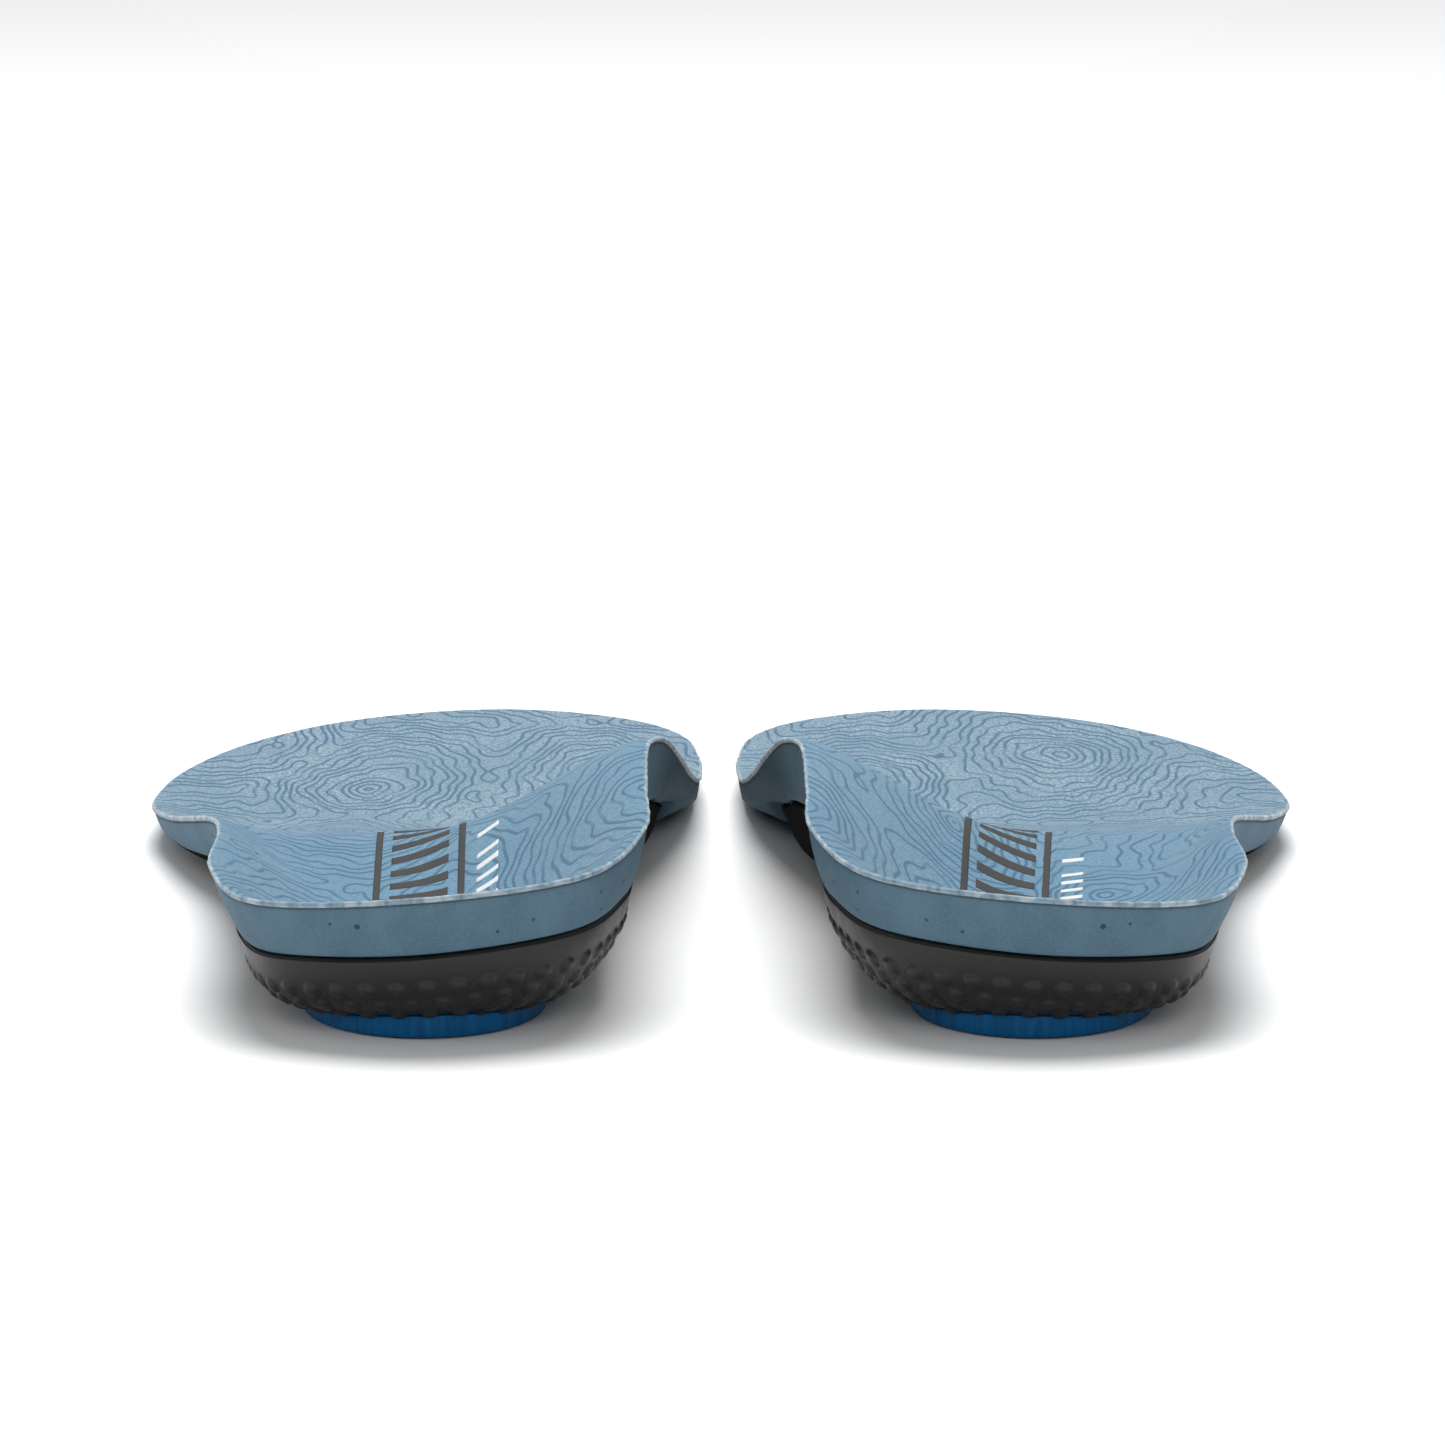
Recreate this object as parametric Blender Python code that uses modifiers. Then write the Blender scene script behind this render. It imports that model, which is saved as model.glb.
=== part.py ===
"""A pair of contoured shoe insoles, heels at -Y and toes at +Y, standing on z = 0. Metres, +Z up.

Each insole is a knit fabric on an adhesive film, a moulded foam bed, a hard support shell under the
heel and arch, and a soft heel pad under the shell. In front of the shell the foam bends at the ball
of the foot: the fabric, film and foam are parted there, and the toe half turns about the flex axis.
Every shape is made for the left foot, whose inner side is +X, and mirrored for the right foot.
"""

import math
from collections import namedtuple

import bmesh
import bpy
import numpy as np
from mathutils import Matrix

# Layout of the pair
HEEL_X = {"left": -0.0494, "right": 0.0526}
TOE_OUT = {"left": math.radians(1.2), "right": math.radians(0.15)}
HEEL_BACK_Y = -0.1355

# Layers, from the top down
FABRIC = 0.0010
FILM = 0.0003
GAP = 0.0003
FILM_DEPTH = FABRIC + GAP
FOAM_DEPTH = FILM_DEPTH + FILM + GAP
FILM_INSET = 0.0006
FOAM_INSET = 0.0004

# Heights along the middle of the insole
HEEL_FLOOR = 0.0120
TOE_FLOOR = 0.0059
FLOOR_FALL = (0.115, 0.172)
HEEL_BASE = 0.0029
BASE_FALL = (0.110, 0.172)
CUP_ROUNDNESS = 0.85

# The spine that the cross-sections meet at, from the heel hub to the toe hub
HEEL_HUB = (0.0, 0.036)
TOE_HUB = (0.004, 0.222)
SPINE_BOW = 0.009
BOW_RANGE = (0.055, 0.110, 0.165)

# Support shell
SHELL_FLOOR = 0.0030
SHELL_EDGE = 0.0016
SHELL_TIP = 0.0010
SHELL_FRONT = 0.1600
SHELL_REACH = 0.012
COVER_FADE = (1.22, 1.45)
SHELL_GAP = 0.0006
FRONT_CLEARANCE = 0.0006

# Heel pad
PAD_CENTRE = (0.0, 0.0365)
PAD_HALF_SIZE = (0.0206, 0.0258)
PAD_SPOKES = 40

# Flex line at the ball of the foot
FLEX_Y = 0.1786
FLEX_Z = 0.0125

# Mesh
SIDE_STATIONS = 22
HEEL_SPOKES = 13
TOE_SPOKES = 11
TOP_RINGS = (0.8, 0.55, 0.35, 0.16)
UNDER_RINGS = (0.03, 0.08, 0.16, 0.28, 0.42, 0.56, 0.75)
CURVE_STEPS = 16

# The rim, anticlockwise from the back of the heel. Each station gives the rim's place and its top
# edge's height; the height and inset of the parting line on the side below it, where foam meets
# shell; the shares of the half-width over which the top slopes down to the floor and the underside
# curves in to the base; and how full that curve is, from a parabola (0) to an ellipse (1).
Rim = namedtuple("Rim", "x y top side flare run bowl fullness")
STATIONS = (
    Rim(-0.0010, 0.0000, 0.0264, 0.0159, 0.0035, 0.60, 0.40, 0.98),
    Rim(0.0270, 0.0105, 0.0282, 0.0180, 0.0032, 0.64, 0.44, 0.98),
    Rim(0.0374, 0.0360, 0.0308, 0.0193, 0.0032, 0.72, 0.47, 0.98),
    Rim(0.0382, 0.0650, 0.0322, 0.0205, 0.0022, 0.90, 0.54, 0.97),
    Rim(0.0391, 0.1000, 0.0328, 0.0205, 0.0020, 1.00, 0.46, 0.97),
    Rim(0.0426, 0.1280, 0.0284, 0.0172, 0.0024, 1.00, 0.37, 0.97),
    Rim(0.0458, 0.1500, 0.0207, 0.0122, 0.0043, 0.85, 0.28, 0.98),
    Rim(0.0474, 0.1640, 0.0156, 0.0096, 0.0042, 0.70, 0.50, 0.88),
    Rim(0.0494, 0.1840, 0.0101, 0.0056, 0.0015, 0.45, 0.48, 0.86),
    Rim(0.0502, 0.2030, 0.0077, 0.0022, 0.0010, 0.35, 0.18, 0.75),
    Rim(0.0502, 0.2220, 0.0063, 0.0018, 0.0010, 0.30, 0.28, 0.60),
    Rim(0.0474, 0.2450, 0.0060, 0.0015, 0.0008, 0.30, 0.28, 0.60),
    Rim(0.0362, 0.2620, 0.0060, 0.0015, 0.0008, 0.30, 0.28, 0.60),
    Rim(0.0140, 0.2712, 0.0060, 0.0015, 0.0008, 0.30, 0.28, 0.60),
    Rim(-0.0120, 0.2624, 0.0060, 0.0015, 0.0008, 0.30, 0.28, 0.60),
    Rim(-0.0318, 0.2411, 0.0060, 0.0015, 0.0008, 0.30, 0.28, 0.60),
    Rim(-0.0446, 0.2112, 0.0063, 0.0018, 0.0010, 0.30, 0.28, 0.60),
    Rim(-0.0496, 0.1790, 0.0070, 0.0025, 0.0018, 0.30, 0.28, 0.70),
    Rim(-0.0460, 0.1520, 0.0099, 0.0040, 0.0025, 0.40, 0.32, 0.80),
    Rim(-0.0380, 0.1180, 0.0165, 0.0078, 0.0032, 0.50, 0.42, 0.92),
    Rim(-0.0358, 0.0800, 0.0215, 0.0110, 0.0044, 0.58, 0.41, 0.97),
    Rim(-0.0364, 0.0420, 0.0234, 0.0126, 0.0046, 0.62, 0.38, 0.98),
    Rim(-0.0283, 0.0120, 0.0238, 0.0140, 0.0043, 0.60, 0.37, 0.98),
)


def smoothstep(low, high, value):
    t = np.clip((value - low) / (high - low), 0.0, 1.0)
    return t * t * (3.0 - 2.0 * t)


# --- The rim and the spokes that run from it to the spine ---


def rim_curve():
    """A closed Catmull-Rom curve through the stations, in all their fields at once."""
    b = np.array(STATIONS)
    a, c, d = np.roll(b, 1, 0), np.roll(b, -1, 0), np.roll(b, -2, 0)
    steps = np.arange(CURVE_STEPS) / CURVE_STEPS
    rows = [
        b + 0.5 * t * (c - a + t * (2 * a - 5 * b + 4 * c - d + t * (3 * b - a - 3 * c + d)))
        for t in steps
    ]
    return np.stack(rows, 1).reshape(-1, b.shape[1])


def spine_x(y):
    """The spine bows towards the outer side beside the arch."""
    along = (y - HEEL_HUB[1]) / (TOE_HUB[1] - HEEL_HUB[1])
    start, peak, end = BOW_RANGE
    bow = smoothstep(start, peak, y) * (1.0 - smoothstep(peak, end, y))
    return HEEL_HUB[0] + (TOE_HUB[0] - HEEL_HUB[0]) * along - SPINE_BOW * bow


def reader(keys, rows):
    """A function that reads the rim's fields where its key has a given value."""
    order = np.argsort(keys)
    return lambda key: np.stack(
        [np.interp(key, keys[order], field) for field in rows[order].T], -1
    )


def fan_angle(x, y, hub, forward):
    """The angle about a hub, from straight ahead (forward = 1) or back (-1), towards +X."""
    return np.arctan2(x - hub[0], forward * (y - hub[1]))


CURVE = rim_curve()
HEEL_ANGLES = fan_angle(CURVE[:, 0], CURVE[:, 1], HEEL_HUB, -1)
TOE_ANGLES = fan_angle(CURVE[:, 0], CURVE[:, 1], TOE_HUB, 1)
ON_INNER = CURVE[:, 0] > spine_x(CURVE[:, 1])
rim_round_heel = reader(HEEL_ANGLES, CURVE)
rim_round_toe = reader(TOE_ANGLES, CURVE)
rim_on_inner = reader(CURVE[ON_INNER, 1], CURVE[ON_INNER])
rim_on_outer = reader(CURVE[~ON_INNER, 1], CURVE[~ON_INNER])


def locate(x, y):
    """The rim, length and inward distance of the spoke that runs through each point."""
    hub_y = np.clip(y, HEEL_HUB[1], TOE_HUB[1])
    hub_x = spine_x(hub_y)
    fields = np.where((x > hub_x)[..., None], rim_on_inner(y), rim_on_outer(y))
    in_heel, in_toe = (y < HEEL_HUB[1])[..., None], (y > TOE_HUB[1])[..., None]
    fields = np.where(in_heel, rim_round_heel(fan_angle(x, y, HEEL_HUB, -1)), fields)
    fields = np.where(in_toe, rim_round_toe(fan_angle(x, y, TOE_HUB, 1)), fields)
    rim = Rim(*np.moveaxis(fields, -1, 0))
    span = np.hypot(rim.x - hub_x, rim.y - hub_y)
    return rim, span, span - np.hypot(x - hub_x, y - hub_y)


# --- The surfaces ---


def floor_height(y):
    return HEEL_FLOOR + (TOE_FLOOR - HEEL_FLOOR) * smoothstep(*FLOOR_FALL, y)


def base_height(y):
    return HEEL_BASE * (1.0 - smoothstep(*BASE_FALL, y))


def top_height(x, y):
    """The fabric's upper surface: a flat floor that rises to the rim in a smooth slope."""
    rim, span, inward = locate(x, y)
    s = np.clip(inward / (rim.run * span), 0.0, 1.0)
    rise = (1.0 + np.cos(np.pi * s**CUP_ROUNDNESS)) / 2.0
    return floor_height(y) + (rim.top - floor_height(rim.y)) * rise


def under_height(x, y):
    """The underside of shell and bare foam, a bowl from the parting line down to the base."""
    rim, span, inward = locate(x, y)
    out = 1.0 - np.minimum((inward - rim.flare) / (rim.bowl * span - rim.flare), 1.0)
    dip = np.sqrt(np.maximum(1.0 - rim.fullness * out**2, 0.0))
    rise = (1.0 - dip) / (1.0 - np.sqrt(1.0 - rim.fullness))
    return base_height(y) + (rim.side - base_height(rim.y)) * rise


def upward_normals(height, x, y):
    """Unit normals of the surface z = height(x, y)."""
    step = 0.0002
    slope_x = (height(x + step, y) - height(x - step, y)) / (2 * step)
    slope_y = (height(x, y + step) - height(x, y - step)) / (2 * step)
    normal = np.stack([-slope_x, -slope_y, np.ones_like(x)], -1)
    return normal / np.linalg.norm(normal, axis=-1, keepdims=True)


def top_points(plan, depth):
    """Points of the layer surface at a depth under the fabric's upper surface."""
    x, y = plan.T
    normal = upward_normals(top_height, x, y)
    return np.column_stack([x, y, top_height(x, y) - depth / normal[:, 2]])


def under_points(plan, depth):
    """Points of the underside, moved into the insole along its normals."""
    x, y = plan.T
    surface = np.column_stack([x, y, under_height(x, y)])
    return surface + upward_normals(under_height, x, y) * np.reshape(depth, (-1, 1))


# --- The support shell's outline and thickness ---


def shell_reach(x):
    """How far the shell's front part spreads to the side of each point."""
    hub_x = spine_x(SHELL_FRONT)
    inner, outer = (Rim(*side(SHELL_FRONT)) for side in (rim_on_inner, rim_on_outer))
    return np.where(x > hub_x, inner.x - inner.flare - hub_x, hub_x - outer.x - outer.flare)


def shell_front_share(x, y):
    """1 on the half-ellipse that is the shell's front edge, less inside it, 0 behind it."""
    ahead = np.maximum(y - SHELL_FRONT, 0.0) / SHELL_REACH
    aside = (x - spine_x(SHELL_FRONT)) / shell_reach(x)
    return np.where(ahead > 0.0, np.hypot(aside, ahead), 0.0)


def shell_thickness(x, y):
    rim, span, inward = locate(x, y)
    share = (inward - rim.flare) / (span - rim.flare)
    middle = SHELL_FLOOR + (SHELL_TIP - SHELL_FLOOR) * smoothstep(*FLOOR_FALL, y)
    thick = SHELL_EDGE + (middle - SHELL_EDGE) * smoothstep(0.0, 0.35, share)
    ahead = (y - SHELL_FRONT) / SHELL_REACH
    thinning = smoothstep(0.7, 1.0, shell_front_share(x, y)) * smoothstep(0.0, 0.4, ahead)
    return thick + (SHELL_TIP - thick) * thinning


def covered(x, y):
    """1 where the shell lies under the foam, fading to 0 in front of it."""
    return 1.0 - smoothstep(*COVER_FADE, shell_front_share(x, y))


# --- Lofts over the spokes ---

Spokes = namedtuple("Spokes", "hub_of hubs rim start")


def spokes_between(fans, stations, front_rim):
    """Spokes anticlockwise from the outer side of the heel, with the distance inward of the rim
    at which the shape that they carry starts."""
    heel = rim_round_heel(np.linspace(-np.pi / 2, np.pi / 2, fans[0]))
    front = front_rim(np.linspace(np.pi / 2, -np.pi / 2, fans[1]))
    between = stations[1:-1]
    rim = np.concatenate([heel, rim_on_inner(between), front, rim_on_outer(between[::-1])])
    last = len(stations) - 1
    sides = list(range(1, last))
    hub_of = [0] * fans[0] + sides + [last] * fans[1] + sides[::-1]
    hubs = np.column_stack([spine_x(stations), stations])
    return Spokes(hub_of, hubs, rim[:, :2], rim[:, 4])


def whole_spokes():
    stations = np.linspace(HEEL_HUB[1], TOE_HUB[1], SIDE_STATIONS)
    return spokes_between((HEEL_SPOKES, TOE_SPOKES), stations, rim_round_toe)


def shell_spokes():
    """The shell's spokes: as the whole insole's up to its front part, and a half-ellipse there."""
    pitch = (TOE_HUB[1] - HEEL_HUB[1]) / (SIDE_STATIONS - 1)
    stations = HEEL_HUB[1] + pitch * np.arange(round((SHELL_FRONT - HEEL_HUB[1]) / pitch) + 1)

    def half_ellipse(angles):
        aside, ahead = np.sin(angles), np.cos(angles)
        x = spine_x(SHELL_FRONT) + aside * shell_reach(spine_x(SHELL_FRONT) + aside * 1e-3)
        rows = np.zeros((len(angles), len(Rim._fields)))
        rows[:, 0], rows[:, 1] = x, SHELL_FRONT + SHELL_REACH * ahead
        return rows

    return spokes_between((HEEL_SPOKES, HEEL_SPOKES), stations, half_ellipse)


def at_inward(spokes, inward):
    """Plan points on the spokes, a distance inward of the rim."""
    reach = spokes.hubs[spokes.hub_of] - spokes.rim
    share = np.asarray(inward) / np.linalg.norm(reach, axis=1)
    return spokes.rim + reach * np.reshape(share, (-1, 1))


def at_share(spokes, share):
    """Plan points on the spokes, at a share of the way from their start to the hub."""
    start = at_inward(spokes, spokes.start)
    return start + (spokes.hubs[spokes.hub_of] - start) * share


def loft(rings, hub_of, first, last=None):
    """Vertices and faces of a skin over rings of points, closed by hub points at its first ring,
    and at its last one if it has hubs. Rings run anticlockwise, and first from the top outwards."""
    count = len(hub_of)
    verts = np.concatenate([*rings, first] + ([] if last is None else [last]))
    faces = []
    for i in range(count):
        j = (i + 1) % count
        for ring in range(len(rings) - 1):
            k = ring * count
            faces.append((k + i, k + count + i, k + count + j, k + j))
        first_hubs = len(rings) * count
        faces.append((i, j, first_hubs + hub_of[j], first_hubs + hub_of[i]))
        if last is not None:
            end, last_hubs = (len(rings) - 1) * count, first_hubs + len(first)
            faces.append((end + j, end + i, last_hubs + hub_of[i], last_hubs + hub_of[j]))
    return verts, [tuple(dict.fromkeys(face)) for face in faces]


def layer_rings(spokes, inset, depth):
    """Rings of a layer's upper surface, from the inside out to its rim."""
    span = np.linalg.norm(spokes.hubs[spokes.hub_of] - spokes.rim, axis=1)
    run = locate(*at_inward(spokes, FOAM_INSET).T)[0].run
    inner = [at_inward(spokes, share * run * span) for share in TOP_RINGS]
    return [top_points(plan, depth) for plan in [*inner, at_inward(spokes, inset)]]


# --- Meshes and objects ---


def make_material(name, colour, roughness):
    material = bpy.data.materials.new(name)
    material.use_nodes = True
    shader = material.node_tree.nodes["Principled BSDF"]
    shader.inputs["Base Color"].default_value = (*colour, 1.0)
    shader.inputs["Roughness"].default_value = roughness
    shader.inputs["Metallic"].default_value = 0.0
    return material


def part_at_flex(mesh, toe_side, closed):
    """Cuts a mesh at the flex line, keeps one half of it, and closes the cut of a solid."""
    way = -1 if toe_side else 1
    bm = bmesh.new()
    bm.from_mesh(mesh)
    cut = bmesh.ops.bisect_plane(
        bm,
        geom=[*bm.verts, *bm.edges, *bm.faces],
        plane_co=(0.0, FLEX_Y - way * GAP / 2, 0.0),
        plane_no=(0.0, way, 0.0),
        clear_outer=True,
    )
    if closed:
        edges = [e for e in cut["geom_cut"] if isinstance(e, bmesh.types.BMEdge)]
        bmesh.ops.contextual_create(bm, geom=edges)
        bmesh.ops.recalc_face_normals(bm, faces=bm.faces)
    bm.to_mesh(mesh)
    bm.free()


def make_part(name, shape, parent, material, half=None, sheet=None):
    """One named part under its parent empty. A half is cut at the flex line and is either the
    "rear" or the "fore" one, and a sheet gets its thickness below its surface."""
    verts, faces = shape
    mirror = parent["mirror"]
    if mirror < 0:
        faces = [face[::-1] for face in faces]
    mesh = bpy.data.meshes.new(name)
    mesh.from_pydata((verts * (mirror, 1, 1)).tolist(), [], faces)
    if half:
        part_at_flex(mesh, half == "fore", closed=sheet is None)
    mesh.transform(parent["to_local"])
    mesh.shade_smooth()
    mesh.set_sharp_from_angle(angle=math.radians(35))
    mesh.materials.append(material)
    part = bpy.data.objects.new(name, mesh)
    part.parent = parent["empty"]
    parent["collection"].objects.link(part)
    if sheet:
        solidify = part.modifiers.new("thickness", "SOLIDIFY")
        solidify.thickness = sheet
        solidify.offset = -1.0
    return part


def sheet_shape(inset, depth):
    """A thin layer's upper surface: the knit fabric's or the film's."""
    spokes = whole_spokes()
    rings = layer_rings(spokes, inset, depth)
    return loft(rings, spokes.hub_of, top_points(spokes.hubs, depth))


def foam_shape():
    """The foam bed: its top, its side down to the parting line, the ledge over the shell's edge,
    and its underside, raised where the shell lies under it."""
    spokes = whole_spokes()
    parting = at_share(spokes, 0.0)
    cover = covered(*parting.T)
    ledge = at_inward(spokes, spokes.start + 0.0005 * (1.0 - cover))
    under = [under_points(parting, 0.0), under_points(ledge, (SHELL_EDGE + SHELL_GAP) * cover)]
    for plan in [at_share(spokes, share) for share in UNDER_RINGS]:
        under.append(foam_underside(plan))
    rings = layer_rings(spokes, FOAM_INSET, FOAM_DEPTH) + under
    return loft(rings, spokes.hub_of, top_points(spokes.hubs, FOAM_DEPTH), foam_underside(spokes.hubs))


def foam_underside(plan):
    """The foam's underside clears the shell a little more under its curved front part."""
    x, y = plan.T
    clearance = SHELL_GAP + FRONT_CLEARANCE * smoothstep(-1.2, 0.0, (y - SHELL_FRONT) / SHELL_REACH)
    return under_points(plan, (shell_thickness(x, y) + clearance) * covered(x, y))


def shell_shape():
    """The support shell: its upper face inside the foam, its edge, and its outer face."""
    spokes = shell_spokes()
    parting = at_share(spokes, 0.0)
    lean = upward_normals(under_height, *parting.T)[:, 2]
    edge = at_inward(spokes, spokes.start + SHELL_GAP * lean)
    plans = [at_share(spokes, share) for share in UNDER_RINGS]
    upper = [under_points(plan, shell_thickness(*plan.T)) for plan in plans[::-1]]
    edge_thickness = shell_thickness(*edge.T)
    rings = [*upper, under_points(edge, edge_thickness), under_points(edge, 0.0)]
    rings += [under_points(plan, 0.0) for plan in plans]
    hubs = spokes.hubs
    return loft(rings, spokes.hub_of, under_points(hubs, shell_thickness(*hubs.T)), under_points(hubs, 0.0))


def pad_shape():
    """The heel pad: an oval with a flat bottom and a rounded edge, fitted to the shell above."""
    angles = np.arange(PAD_SPOKES) * 2 * np.pi / PAD_SPOKES
    circle = np.column_stack([np.cos(angles), np.sin(angles)])

    def oval(inset):
        return PAD_CENTRE + circle * (np.array(PAD_HALF_SIZE) - inset)

    rings = [under_points(oval(inset), 0.0) - (0, 0, SHELL_GAP) for inset in (0.012, 0.008, 0.004, 0.0)]
    for inset, height in ((0.0, 0.0014), (0.0004, 0.0004), (0.0012, 0.0)):
        plan = oval(inset)
        rings.append(np.column_stack([plan, np.full(len(plan), height)]))
    centre = np.array([PAD_CENTRE])
    top = under_points(centre, 0.0) - (0, 0, SHELL_GAP)
    return loft(rings, [0] * PAD_SPOKES, top, np.array([[*PAD_CENTRE, 0.0]]))


def make_empty(name, location, collection, parent=None):
    empty = bpy.data.objects.new(name, None)
    empty.location = location
    empty.parent = parent
    collection.objects.link(empty)
    return empty


def make_insole(side, mirror, collection, materials):
    """One insole under its own empty, with a second empty on the flex axis for the toe half."""
    insole = make_empty(f"{side}_insole", (HEEL_X[side], HEEL_BACK_Y, 0.0), collection)
    insole.rotation_euler.z = mirror * TOE_OUT[side]
    flex = make_empty(f"{side}_flex", (0.0, FLEX_Y, FLEX_Z), collection, insole)
    holders = {
        "rear": {"empty": insole, "to_local": Matrix.Identity(4)},
        "fore": {"empty": flex, "to_local": Matrix.Translation((0.0, -FLEX_Y, -FLEX_Z))},
    }
    for holder in holders.values():
        holder.update(mirror=mirror, collection=collection)

    fabric = sheet_shape(0.0, 0.0)
    film = sheet_shape(FILM_INSET, FILM_DEPTH)
    foam = foam_shape()
    for half, holder in holders.items():
        make_part(f"{side}_top_fabric_{half}", fabric, holder, materials["fabric"], half, FABRIC)
        make_part(f"{side}_bond_film_{half}", film, holder, materials["film"], half, FILM)
        make_part(f"{side}_foam_bed_{half}", foam, holder, materials["foam"], half)
    make_part(f"{side}_support_shell", shell_shape(), holders["rear"], materials["shell"])
    make_part(f"{side}_heel_pad", pad_shape(), holders["rear"], materials["pad"])


def main():
    for old in list(bpy.data.objects):
        bpy.data.objects.remove(old)
    collection = bpy.data.collections.new("insole_pair")
    bpy.context.scene.collection.children.link(collection)
    materials = {
        "fabric": make_material("knit_fabric", (0.34, 0.49, 0.60), 0.9),
        "film": make_material("adhesive_film", (0.05, 0.06, 0.08), 0.6),
        "foam": make_material("moulded_foam", (0.12, 0.22, 0.31), 0.8),
        "shell": make_material("shell_plastic", (0.03, 0.03, 0.03), 0.5),
        "pad": make_material("gel_pad", (0.0, 0.17, 0.60), 0.5),
    }
    make_insole("left", 1, collection, materials)
    make_insole("right", -1, collection, materials)


main()
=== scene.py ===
"""The insole pair as it looks: knit fabric, bond film, foam bed, studded shell and heel pad on each
foot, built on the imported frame. Every shape is made for the left foot, in its own frame with +X to
the inner side and +Y to the toes, then mirrored for the right foot and set in place."""

import math
from collections import namedtuple

import bpy
import numpy as np
from mathutils import Matrix, Vector, kdtree, noise
from mathutils.bvhtree import BVHTree


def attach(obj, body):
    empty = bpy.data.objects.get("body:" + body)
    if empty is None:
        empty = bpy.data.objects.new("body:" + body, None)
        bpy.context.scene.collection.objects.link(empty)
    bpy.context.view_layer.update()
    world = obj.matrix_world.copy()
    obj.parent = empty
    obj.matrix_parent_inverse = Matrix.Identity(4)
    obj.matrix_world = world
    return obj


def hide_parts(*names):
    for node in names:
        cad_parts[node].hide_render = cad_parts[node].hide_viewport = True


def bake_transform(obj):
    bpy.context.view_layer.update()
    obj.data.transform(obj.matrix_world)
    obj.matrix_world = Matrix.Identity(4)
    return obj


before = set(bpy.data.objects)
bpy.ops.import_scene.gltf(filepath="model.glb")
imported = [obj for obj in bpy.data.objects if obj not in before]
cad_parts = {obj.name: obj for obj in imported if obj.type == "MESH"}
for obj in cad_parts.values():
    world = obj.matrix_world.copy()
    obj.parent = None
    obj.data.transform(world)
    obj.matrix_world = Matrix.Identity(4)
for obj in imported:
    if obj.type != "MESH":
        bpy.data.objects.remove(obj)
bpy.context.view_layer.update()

MM = 0.001

# Placement of the pair, as in the CAD
HEEL_X = {"left": -0.0494, "right": 0.0526}
TOE_OUT = {"left": math.radians(1.2), "right": math.radians(0.15)}
HEEL_BACK_Y = -0.1355

# Layers, from the top down
FABRIC = 0.0009
FOAM_DEPTH = 0.0012
FOAM_INSET = 0.0004
FILM_INSET = 0.0005

# Heights along the middle
HEEL_FLOOR, TOE_FLOOR, FLOOR_FALL = 0.0120, 0.0059, (0.115, 0.172)
HEEL_BASE, BASE_FALL = 0.0029, (0.110, 0.172)
CUP_ROUNDNESS = 0.85

# Spine
HEEL_HUB, TOE_HUB = (0.0, 0.036), (0.004, 0.222)
SPINE_BOW, BOW_RANGE = 0.009, (0.055, 0.110, 0.165)

# Shell and pad
SHELL_FLOOR, SHELL_EDGE, SHELL_TIP = 0.0030, 0.0016, 0.0010
SHELL_FRONT, SHELL_REACH = 0.1600, 0.012
COVER_FADE = (1.22, 1.45)
SHELL_GAP, FRONT_CLEARANCE = 0.0006, 0.0006
PAD_CENTRE, PAD_HALF_SIZE = (0.0, 0.0365), (0.0206, 0.0258)

# The shell's studs
STUD_ROWS = (6.6 * MM, 10.2 * MM, 13.8 * MM, 17.4 * MM, 21.0 * MM, 24.4 * MM)
STUD_PITCH = 5.2 * MM
STUD_RADIUS = 1.50 * MM
STUD_HEIGHT = 0.60 * MM
STUD_ROUNDNESS = 0.42
# The moat pressed in round each stud: its place and width are shares of the stud's radius
MOAT_DEPTH, MOAT_CENTRE, MOAT_WIDTH = 0.12 * MM, 1.12, 0.16
# How far in from the shell's edge its fine rings start and end, and how far apart they are
FIELD_START, FIELD_END, FIELD_STEP = 0.7 * MM, 26.4 * MM, 0.42 * MM
# Where along the foot the studs die out
STUD_FADE = (0.118, 0.140)

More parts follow.
